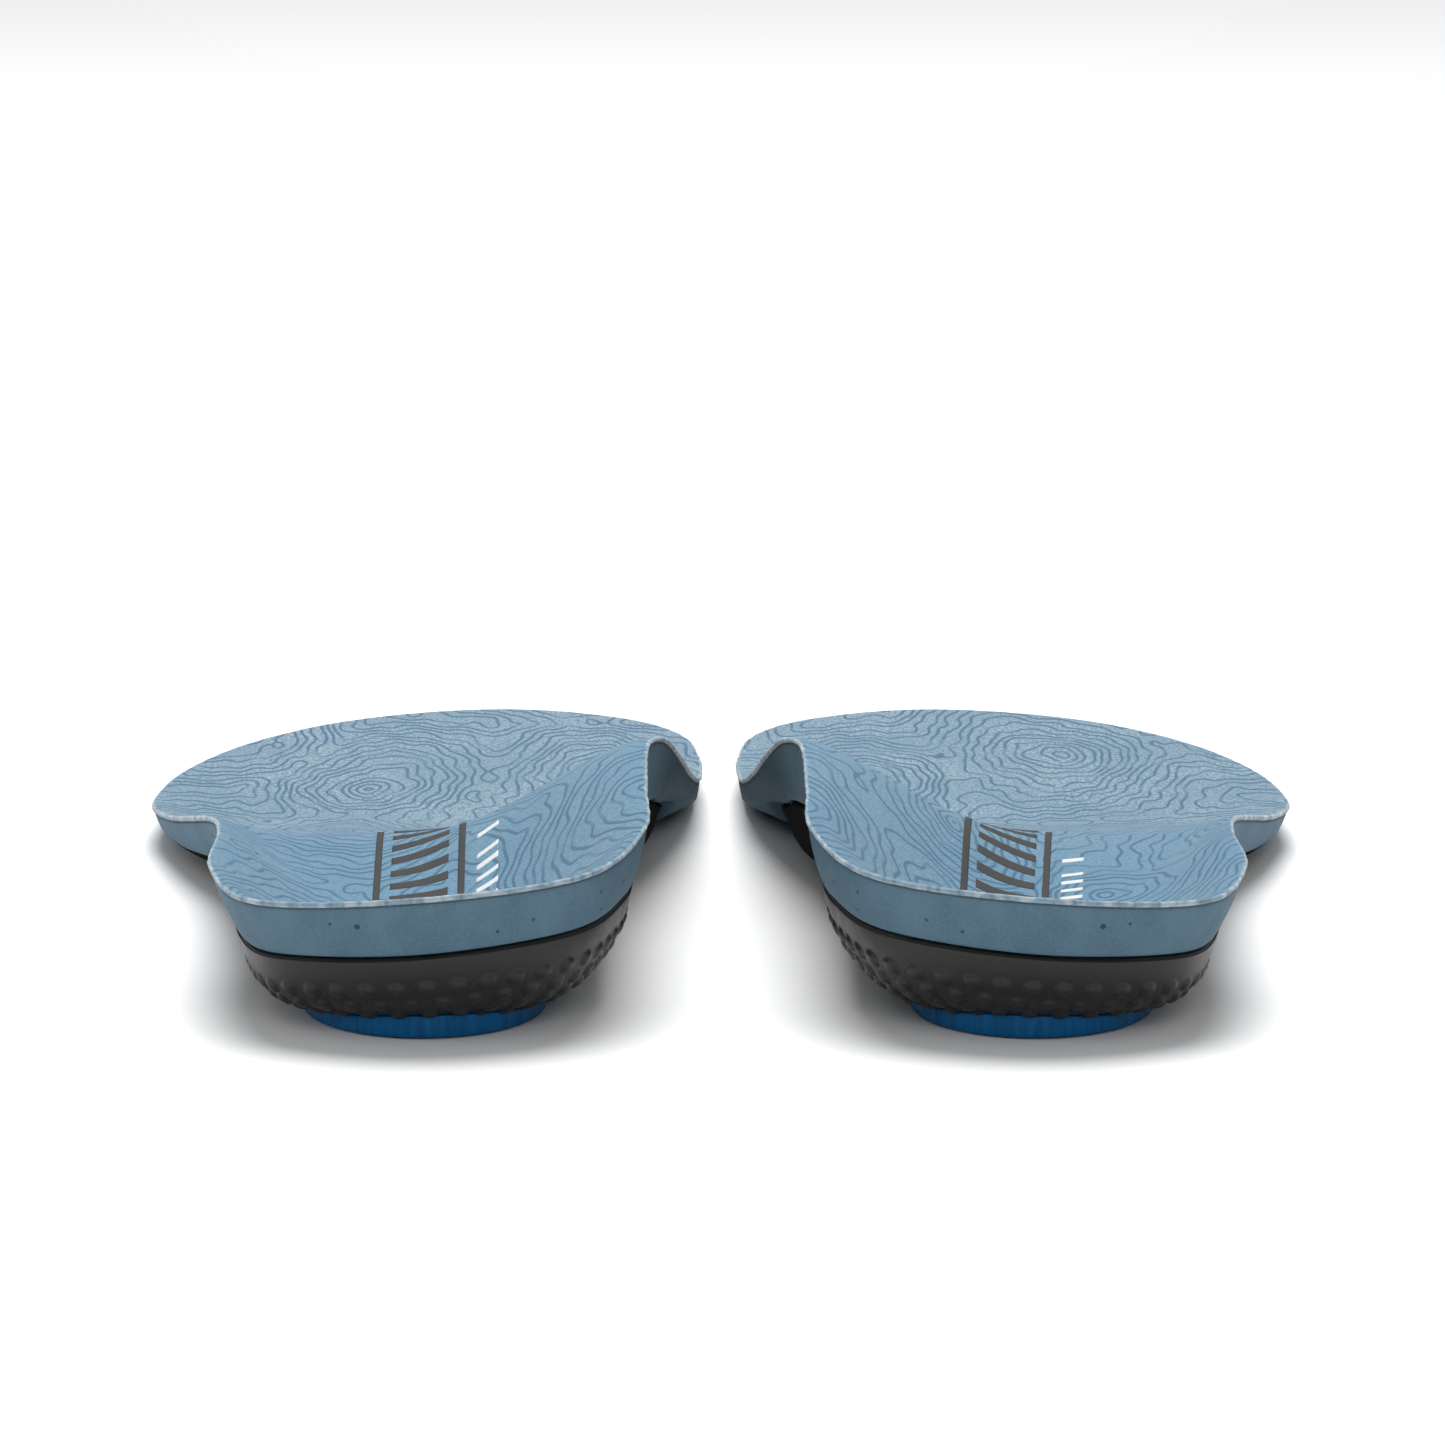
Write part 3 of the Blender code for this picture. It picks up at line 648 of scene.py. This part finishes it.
def print_shapes(tree, side):
    """Two long bars with a ladder of short slanted bars between them and a row of pale ticks beside
    them: plain ornament, with no lettering."""
    spread, ends = PRINTS[side]["spread"], PRINTS[side]["ends"]
    dark = []
    for u, end in zip((-spread, spread), ends):
        width = (u - LONG_BAR_HALF_WIDTH, u + LONG_BAR_HALF_WIDTH)
        bar = (width, BACK_OF_PRINT, 0.0, end - BACK_OF_PRINT)
        dark.append(print_patch(tree, side, bar, LONG_BAR_STEP))

    width = (-SHORT_BAR_HALF_WIDTH, SHORT_BAR_HALF_WIDTH)
    slant = SHORT_BAR_SLANT if side == "left" else -SHORT_BAR_SLANT
    for k in range(SHORT_BARS):
        start = FIRST_SHORT_BAR + SHORT_BAR_PITCH * k
        dark.append(print_patch(tree, side, (width, start, slant, SHORT_BAR_LENGTH)))

    pale = []
    near = spread + TICK_OFFSET
    for start, length in TICKS:
        tick = ((near, near + TICK_WIDTH), start - TICK_SLANT * near, TICK_SLANT, length)
        pale.append(print_patch(tree, side, tick, TICK_STEP))
    return joined(dark), joined(pale)


# --- Materials ---

# The knitted pattern: how far apart its loops' centres and its lines are across the foot. Along the
# foot it is stretched, by 1 / CONTOUR_SQUEEZE. The sway bends it broadly and the wiggle finely.
CONTOUR_CELL = 40 * MM
CONTOUR_PITCH = 1.9 * MM
CONTOUR_SQUEEZE = 0.45
CONTOUR_SWAY, SWAY_SIZE = 10 * MM, 24 * MM
WIGGLE_PITCHES, WIGGLE_SIZE = 1.5, 4.5 * MM
# Where along the foot the shell turns dull
DULL_FROM, DULL_TO = 0.085, 0.120


class Nodes:
    """A short way to write a node tree."""

    def __init__(self, name):
        self.material = bpy.data.materials.new(name)
        self.material.use_nodes = True
        self.tree = self.material.node_tree
        self.shader = self.tree.nodes["Principled BSDF"]

    def put(self, target, value):
        if isinstance(value, bpy.types.NodeSocket):
            self.tree.links.new(value, target)
        else:
            target.default_value = value

    def node(self, kind, inputs=(), **settings):
        made = self.tree.nodes.new(kind)
        for key, value in settings.items():
            setattr(made, key, value)
        for key, value in dict(inputs).items():
            self.put(made.inputs[key], value)
        return made

    def math(self, operation, a, b=0.0, c=0.0):
        return self.node("ShaderNodeMath", {0: a, 1: b, 2: c}, operation=operation).outputs[0]

    def vector(self, operation, a, b=(0, 0, 0)):
        return self.node("ShaderNodeVectorMath", {0: a, 1: b}, operation=operation).outputs[0]

    def along(self, vector, axis):
        return self.node("ShaderNodeSeparateXYZ", {"Vector": vector}).outputs[axis]

    def attribute(self, name, output="Vector"):
        return self.node("ShaderNodeAttribute", attribute_name=name).outputs[output]

    def noise(self, vector, size, detail=2.0, roughness=0.5, dimensions="3D"):
        inputs = {"Vector": vector, "Scale": 1.0 / size, "Detail": detail, "Roughness": roughness}
        return self.node("ShaderNodeTexNoise", inputs, noise_dimensions=dimensions).outputs[0]

    def ramp(self, value, low, high, to_low=0.0, to_high=1.0):
        inputs = {
            "Value": value,
            "From Min": low,
            "From Max": high,
            "To Min": to_low,
            "To Max": to_high,
        }
        made = self.node("ShaderNodeMapRange", inputs, interpolation_type="SMOOTHSTEP")
        return made.outputs["Result"]

    def mix(self, factor, a, b):
        made = self.node("ShaderNodeMix", data_type="RGBA")
        self.put(made.inputs[0], factor)
        self.put(made.inputs[6], (*a, 1.0) if isinstance(a, tuple) else a)
        self.put(made.inputs[7], (*b, 1.0) if isinstance(b, tuple) else b)
        return made.outputs[2]

    def bump(self, height, strength, distance, normal=None):
        inputs = {"Height": height, "Strength": strength, "Distance": distance}
        made = self.node("ShaderNodeBump", inputs)
        if normal is not None:
            self.put(made.inputs["Normal"], normal)
        return made.outputs["Normal"]

    def finish(self, colour, roughness, normal, **uniform):
        self.put(self.shader.inputs["Base Color"], colour)
        self.put(self.shader.inputs["Roughness"], roughness)
        self.put(self.shader.inputs["Normal"], normal)
        for name, value in uniform.items():
            self.shader.inputs[name.replace("_", " ")].default_value = value
        return self.material


def contour_field(n, plan):
    """The distance, in line pitches, to the nearest of a few scattered centres, bent by noise. Its
    level lines are closed loops round the centres that meet in chevrons."""
    squeezed = n.vector("MULTIPLY", plan, (1.0, CONTOUR_SQUEEZE, 0.0))
    sway = n.node(
        "ShaderNodeTexNoise",
        {"Vector": squeezed, "Scale": 1.0 / SWAY_SIZE, "Detail": 0.0},
        noise_dimensions="2D",
    ).outputs["Color"]
    centred = n.vector("SUBTRACT", sway, (0.5, 0.5, 0.5))
    bend = n.vector("MULTIPLY", centred, (CONTOUR_SWAY, CONTOUR_SWAY, 0.0))
    cells = n.node(
        "ShaderNodeTexVoronoi",
        {
            "Vector": n.vector("ADD", squeezed, bend),
            "Scale": 1.0 / CONTOUR_CELL,
            "Smoothness": 0.25,
            "Randomness": 0.85,
        },
        voronoi_dimensions="2D",
        feature="SMOOTH_F1",
    )
    wiggle = n.noise(squeezed, WIGGLE_SIZE, 0.0, 0.5, "2D")
    distance = n.math("MULTIPLY", cells.outputs["Distance"], CONTOUR_CELL / CONTOUR_PITCH)
    return n.math("MULTIPLY_ADD", wiggle, WIGGLE_PITCHES, distance)


def contour_lines(n, plan, half_width):
    """1 on the level lines of the field, which all have the same width across the foot and are
    stretched along it like the field, and 0 between them."""
    step = 0.25 * MM
    here = contour_field(n, plan)
    slopes = []
    for offset in ((step, 0, 0), (0, step / CONTOUR_SQUEEZE, 0)):
        there = contour_field(n, n.vector("ADD", plan, offset))
        slopes.append(n.math("DIVIDE", n.math("SUBTRACT", there, here), step))
    squares = [n.math("POWER", slope, 2.0) for slope in slopes]
    steep = n.math("SQRT", n.math("ADD", *squares))
    away = n.math("ABSOLUTE", n.math("SUBTRACT", n.math("FRACT", here), 0.5))
    distance = n.math("DIVIDE", away, n.math("MAXIMUM", steep, 120.0))
    return n.ramp(distance, half_width * 0.5, half_width * 1.3, 1.0, 0.0)


def fabric_material(seed):
    """A pale blue heathered knit, with painted shade in a deeper blue towards the heel, darker level
    lines knitted in, and a fuzzy, paler cut edge that is partly painted highlight."""
    n = Nodes(f"knit_fabric_{seed}")
    foot = n.attribute("plan")
    plan = n.vector("ADD", foot, (seed * 0.31, seed * 0.17, 0.0))
    flat = n.vector("MULTIPLY", plan, (1.0, 1.0, 0.0))
    lines = contour_lines(n, flat, 0.30 * MM)
    patchy = n.ramp(n.noise(plan, 9 * MM, 2.0), 0.30, 0.55, 0.55, 1.0)
    lines = n.math("MULTIPLY", lines, patchy)

    heather = n.noise(plan, 0.60 * MM, 2.0, 0.6)
    mottle = n.noise(plan, 1.5 * MM, 2.0, 0.6)
    base = n.mix(n.ramp(heather, 0.42, 0.58), (0.054, 0.132, 0.202), (0.222, 0.320, 0.386))
    base = n.mix(n.ramp(mottle, 0.40, 0.70, 0.0, 0.40), base, (0.225, 0.315, 0.375))
    broad = n.ramp(n.noise(plan, 28 * MM, 1.0), 0.35, 0.65, 0.0, 0.35)
    ground = n.mix(broad, base, (0.080, 0.170, 0.255))
    # Painted shade: a deeper, more saturated blue towards the heel, where the cup's walls slope away
    # from the light.
    heel = n.ramp(n.along(foot, "Y"), 0.105, 0.165, 0.55, 0.0)
    ground = n.mix(heel, ground, (0.046, 0.182, 0.292))
    lined = n.mix(n.math("MULTIPLY", lines, 0.90), ground, (0.012, 0.084, 0.168))

    # The paler cut edge is partly the knit's own whitish cut fibres and partly painted highlight
    # along the rounded rim; its brighter flecks are painted glints.
    inward = n.attribute("inward", "Fac")
    ragged = n.math("MULTIPLY_ADD", n.noise(plan, 1.3 * MM, 2.0), 0.9, 0.10)
    edge = n.ramp(n.math("DIVIDE", inward, ragged), 0.5, 1.15, 1.0, 0.0)
    tufts_and_glints = n.ramp(n.noise(plan, 2.3 * MM, 1.0), 0.42, 0.70, 0.35, 0.95)
    colour = n.mix(n.math("MULTIPLY", edge, tufts_and_glints), lined, (0.40, 0.46, 0.50))

    wave = {
        "Vector": flat,
        "Scale": 1.0 / (2.9 * MM),
        "Distortion": 2.2,
        "Detail": 1.0,
        "Detail Scale": 1.5,
    }
    wales = n.node("ShaderNodeTexWave", wave, bands_direction="DIAGONAL").outputs["Fac"]
    knit = n.math("MULTIPLY_ADD", wales, 0.35, heather)
    normal = n.bump(knit, 0.55, 0.16 * MM)
    normal = n.bump(n.math("MULTIPLY", lines, -1.0), 0.6, 0.12 * MM, normal)
    roughness = n.ramp(heather, 0.3, 0.7, 0.82, 0.97)
    uniform = {"Specular_IOR_Level": 0.22, "Sheen_Weight": 0.25, "Sheen_Roughness": 0.5}
    return n.finish(colour, roughness, normal, **uniform)


def film_and_shadow_material():
    """Dark bonding film whose colour is partly painted shadow: slate under the heel and near black
    towards the toes, for the shade in the gap under the fabric's edge.
    """
    n = Nodes("bond_film")
    plan = n.attribute("plan")
    grain = n.noise(plan, 0.8 * MM, 2.0)
    # Painted shadow: these colours stand for the shade under the fabric's overhanging edge as well
    # as the film's own dark tone.
    heel = n.mix(n.ramp(grain, 0.3, 0.7), (0.028, 0.052, 0.076), (0.042, 0.074, 0.102))
    toe = n.mix(n.ramp(grain, 0.3, 0.7), (0.006, 0.006, 0.007), (0.014, 0.012, 0.011))
    colour = n.mix(n.ramp(n.along(plan, "Y"), 0.05, 0.13), heel, toe)
    return n.finish(colour, n.ramp(grain, 0.2, 0.8, 0.55, 0.75), n.bump(grain, 0.4, 0.08 * MM))


def foam_material():
    """Slate blue moulded foam with a fine skin and a few dark specks, and painted shade: a deeper
    tone along the inner side of the forefoot."""
    n = Nodes("moulded_foam")
    plan = n.attribute("plan")
    cloud = n.noise(plan, 11 * MM, 3.0, 0.6)
    fine = n.noise(plan, 0.5 * MM, 3.0, 0.65)
    colour = n.mix(n.ramp(cloud, 0.3, 0.7), (0.070, 0.134, 0.186), (0.092, 0.166, 0.224))
    colour = n.mix(n.ramp(fine, 0.40, 0.70, 0.0, 0.40), colour, (0.130, 0.205, 0.262))
    # Painted shade: the foam is darkened along the inner side of the forefoot, where the arch shades
    # it.
    inner = n.ramp(n.along(plan, "X"), 0.018, 0.036)
    fore = n.ramp(n.along(plan, "Y"), 0.105, 0.150)
    painted_shade = n.math("MULTIPLY", n.math("MULTIPLY", inner, fore), 0.74)
    colour = n.mix(painted_shade, colour, (0.010, 0.034, 0.054))
    spread = {"Vector": plan, "Scale": 1.0 / (3.4 * MM), "Randomness": 1.0}
    cells = n.node("ShaderNodeTexVoronoi", spread)
    shade = n.node("ShaderNodeSeparateColor", {"Color": cells.outputs["Color"]}).outputs
    size = n.math("MULTIPLY_ADD", shade[1], 0.09, 0.07)
    chosen = n.math("GREATER_THAN", shade[0], 0.45)
    speck = n.ramp(n.math("DIVIDE", cells.outputs["Distance"], size), 0.75, 1.25, 1.0, 0.0)
    speck = n.math("MULTIPLY", speck, chosen)
    colour = n.mix(n.math("MULTIPLY", speck, 0.78), colour, (0.012, 0.030, 0.050))
    normal = n.bump(fine, 0.35, 0.10 * MM)
    normal = n.bump(speck, -0.3, 0.10 * MM, normal)
    return n.finish(colour, n.ramp(fine, 0.3, 0.7, 0.66, 0.84), normal, Specular_IOR_Level=0.20)


def shell_material():
    """Near-black moulded plastic with a spark-eroded grain, duller under the arch."""
    n = Nodes("shell_plastic")
    plan = n.attribute("plan")
    grain = n.noise(plan, 0.28 * MM, 3.0, 0.7)
    cloud = n.noise(plan, 8 * MM, 3.0, 0.6)
    colour = n.mix(n.ramp(cloud, 0.3, 0.7), (0.0100, 0.0100, 0.0096), (0.0150, 0.0146, 0.0138))
    colour = n.mix(n.ramp(grain, 0.55, 0.8, 0.0, 0.35), colour, (0.026, 0.025, 0.024))
    along = n.along(plan, "Y")
    colour = n.mix(n.ramp(along, DULL_FROM, DULL_TO), colour, (0.0180, 0.0178, 0.0172))
    satin = n.ramp(cloud, 0.3, 0.7, 0.40, 0.50)
    dull = n.ramp(along, DULL_FROM, DULL_TO, 0.0, 0.9)
    roughness = n.math("MAXIMUM", satin, dull)
    n.put(n.shader.inputs["Specular IOR Level"], n.ramp(along, DULL_FROM, DULL_TO, 0.36, 0.0))
    return n.finish(colour, roughness, n.bump(grain, 0.30, 0.07 * MM))


def pad_material():
    """Bright azure soft pad with faint upright streaks."""
    n = Nodes("heel_pad")
    plan = n.attribute("plan")
    upright = n.vector("MULTIPLY", plan, (1.0, 1.0, 0.12))
    streak = n.noise(upright, 1.3 * MM, 3.0, 0.6)
    grain = n.noise(plan, 0.35 * MM, 2.0)
    colour = n.mix(n.ramp(streak, 0.3, 0.7), (0.0004, 0.066, 0.180), (0.0010, 0.102, 0.270))
    normal = n.bump(n.math("MULTIPLY_ADD", streak, 0.7, grain), 0.3, 0.08 * MM)
    return n.finish(colour, n.ramp(grain, 0.3, 0.7, 0.45, 0.58), normal, Specular_IOR_Level=0.14)


def ink_material(name, low, high):
    """Screen-print ink that lets a little of the knit's texture through."""
    n = Nodes(name)
    plan = n.attribute("plan")
    grain = n.noise(plan, 0.4 * MM, 2.0, 0.6)
    colour = n.mix(n.ramp(grain, 0.3, 0.7), low, high)
    roughness = n.ramp(grain, 0.3, 0.7, 0.78, 0.92)
    return n.finish(colour, roughness, n.bump(grain, 0.5, 0.12 * MM), Specular_IOR_Level=0.3)


# --- The pair ---


def make_insole(side, shapes, materials):
    rear = f"{side}_rearfoot"
    fabric = make_piece(f"{side}_fabric_sheet", side, shapes["fabric"], materials[f"{side}_fabric"])
    film = make_piece(f"{side}_film", side, shapes["film"], materials["film"])
    foam = make_piece(f"{side}_foam", side, shapes["foam"], materials["foam"])
    shell = make_piece(f"{side}_shell", side, shapes["shell"], materials["shell"])
    pad = make_piece(f"{side}_pad", side, shapes["pad"], materials["pad"])
    tree = BVHTree.FromPolygons([tuple(v) for v in shapes["fabric"][0]], shapes["fabric"][1])
    dark, pale = print_shapes(tree, side)
    prints = [
        make_piece(f"{side}_print_dark", side, dark, materials["dark_ink"]),
        make_piece(f"{side}_print_pale", side, pale, materials["pale_ink"]),
    ]

    for piece, node in ((fabric, "top_fabric"), (film, "bond_film"), (foam, "foam_bed")):
        bend_at_ball(piece)
        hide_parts(f"{side}_{node}_rear", f"{side}_{node}_fore")
    for piece in (shell, pad, *prints):
        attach(piece, rear)
    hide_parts(f"{side}_support_shell")
    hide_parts(f"{side}_heel_pad")


shapes = {
    "fabric": fabric_shape(),
    "film": film_shape(),
    "foam": foam_shape(),
    "shell": shell_shape(),
    "pad": pad_shape(),
}
materials = {
    "left_fabric": fabric_material(1),
    "right_fabric": fabric_material(2),
    "film": film_and_shadow_material(),
    "foam": foam_material(),
    "shell": shell_material(),
    "pad": pad_material(),
    "dark_ink": ink_material("dark_ink", (0.028, 0.028, 0.028), (0.050, 0.050, 0.051)),
    "pale_ink": ink_material("pale_ink", (0.52, 0.56, 0.58), (0.66, 0.69, 0.70)),
}
make_insole("left", shapes, materials)
make_insole("right", shapes, materials)


# --- Studio ---


def make_floor():
    mesh = bpy.data.meshes.new("floor")
    half, z = 6.0, -0.0002
    corners = [(-half, -half, z), (half, -half, z), (half, half, z), (-half, half, z)]
    mesh.from_pydata(corners, [], [(0, 1, 2, 3)])
    n = Nodes("floor")
    n.shader.inputs["Base Color"].default_value = (0.86, 0.86, 0.86, 1.0)
    n.shader.inputs["Roughness"].default_value = 0.9
    n.shader.inputs["Specular IOR Level"].default_value = 0.1
    mesh.materials.append(n.material)
    floor = bpy.data.objects.new("floor", mesh)
    bpy.context.scene.collection.objects.link(floor)


def area_light(name, place, target, size, power):
    light = bpy.data.objects.new(name, bpy.data.lights.new(name, "AREA"))
    light.data.shape = "DISK"
    light.data.size = size
    light.data.energy = power
    light.location = place
    light.rotation_euler = (Vector(target) - Vector(place)).to_track_quat("-Z", "Y").to_euler()
    bpy.context.scene.collection.objects.link(light)


def make_world():
    world = bpy.data.worlds.new("studio")
    world.use_nodes = True
    sky = world.node_tree.nodes["Background"]
    sky.inputs["Color"].default_value = (1.0, 1.0, 1.0, 1.0)
    sky.inputs["Strength"].default_value = 0.40
    bpy.context.scene.world = world


def make_camera():
    """From behind the heels, 11 degrees above the ground, through a long lens."""
    elevation, distance = math.radians(11.0), 2.27
    view_up = Vector((0.0, math.sin(elevation), math.cos(elevation)))
    target = Vector((0.0003, 0.1345, 0.005)) - view_up * 0.00141
    ahead = Vector((0.0, math.cos(elevation), -math.sin(elevation)))
    camera = bpy.data.objects.new("camera", bpy.data.cameras.new("camera"))
    camera.location = target - ahead * distance
    camera.rotation_euler = (math.radians(90.0) - elevation, 0.0, 0.0)
    camera.data.lens, camera.data.sensor_width = 300.4, 36.0
    bpy.context.scene.collection.objects.link(camera)
    bpy.context.scene.camera = camera


make_floor()
area_light("overhead", (0.0, 0.40, 1.30), (0.0, 0.0, 0.0), 1.0, 24.0)
area_light("front", (0.1, -1.6, 0.8), (0.0, 0.0, 0.0), 0.9, 5.0)
area_light("side", (-1.3, -0.3, 0.45), (0.0, 0.0, 0.0), 0.5, 1.4)
make_world()
make_camera()
bpy.context.scene.view_settings.view_transform = "Standard"
